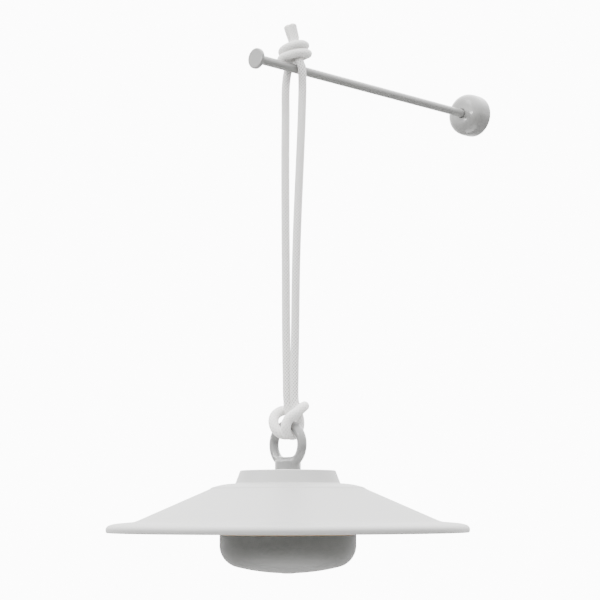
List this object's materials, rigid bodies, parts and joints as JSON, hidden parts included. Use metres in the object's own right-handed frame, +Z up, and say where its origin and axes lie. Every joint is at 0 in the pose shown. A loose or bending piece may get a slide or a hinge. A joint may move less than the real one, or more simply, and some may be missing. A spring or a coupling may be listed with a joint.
{
  "type": "hanging garden lamp",
  "caption": "Battery hanging lamp with a wide shallow shade, hung from a straight wall arm by a knotted rope through a ring.",
  "frame": {"origin": "centre of the wall plate's back face, on the wall and on the arm rod's axis", "axes": "+Y out of the back face into the wall, so the arm runs along -Y; +Z up; +X to the right, seen from the end disc toward the wall"},
  "size_m": [0.34, 0.46, 0.5334],
  "materials": {
    "shade_paint": "matt warm light grey powder coat",
    "bracket_paint": "satin light grey coat",
    "eye_paint": "satin grey coat",
    "spacer_plastic": "matt pale plastic",
    "body_plastic": "matt mid grey plastic",
    "rope_braid": "off-white braided rope",
    "plate_steel": "zinc-plated steel",
    "screw_steel": "plain steel",
    "plate_aluminium": "milled aluminium",
    "board_white": "white circuit board",
    "board_green": "green circuit board",
    "chip_yellow": "warm light chip",
    "lens_plastic": "frosted translucent plastic",
    "seal_silicone": "translucent warm silicone",
    "dark_rubber": "matt black rubber",
    "dark_plastic": "matt black plastic",
    "cell_wrap": "shrink-wrapped cell"
  },
  "bodies": {
    "arm": {"wall_plate": "plate_steel", "cover_grip_ring": "dark_rubber", "arm_rod": "bracket_paint", "arm_end_disc": "bracket_paint"},
    "cover": {"wall_cover": "bracket_paint"},
    "knot": {"rope_knot": "rope_braid"},
    "loop": {"rope_loop": "rope_braid"},
    "lamp": {"eye_bolt": "eye_paint", "eye_spacer": "spacer_plastic", "shade": "shade_paint", "shade_gasket": "dark_rubber", "upper_housing": "body_plastic", "eye_nut": "screw_steel", "heat_plate": "plate_aluminium", "led_board": "board_white", "led_chips": "chip_yellow", "diffuser_ring": "lens_plastic", "housing_screws": "screw_steel", "bowl_screws": "screw_steel", "housing_seal": "seal_silicone", "battery_cells": "cell_wrap", "battery_cradle": "dark_plastic", "control_board": "board_green", "button_switch": "dark_plastic", "charge_socket": "screw_steel", "lower_bowl": "body_plastic"},
    "button": {"button_cap": "body_plastic"},
    "flap": {"port_cover": "dark_rubber"}
  },
  "joints": [
    {"name": "cover_slide", "type": "slide", "parent": "arm", "child": "cover", "axis": [0, -1, 0], "range_m": [0, 0.06]},
    {"name": "rope_slide", "type": "slide", "parent": "arm", "child": "knot", "axis": [0, 1, 0], "range_m": [-0.018, 0.09]},
    {"name": "rope_swing", "type": "hinge", "parent": "knot", "child": "loop", "pos_m": [0, -0.29, 0], "axis": [0, 1, 0], "range_deg": [-40, 40], "deforming": ["rope_loop"]},
    {"name": "lamp_tilt", "type": "hinge", "parent": "loop", "child": "lamp", "pos_m": [0, -0.29, -0.3477], "axis": [1, 0, 0], "range_deg": [-30, 30], "deforming": ["rope_loop"]},
    {"name": "button_press", "type": "slide", "parent": "lamp", "child": "button", "axis": [0, 0, 1], "range_m": [0, 0.0006], "stiffness_N_per_m": 200},
    {"name": "port_cover_flap", "type": "hinge", "parent": "lamp", "child": "flap", "pos_m": [0, -0.2243, -0.4632], "axis": [-1, 0, 0], "range_deg": [0, 90]}
  ]
}
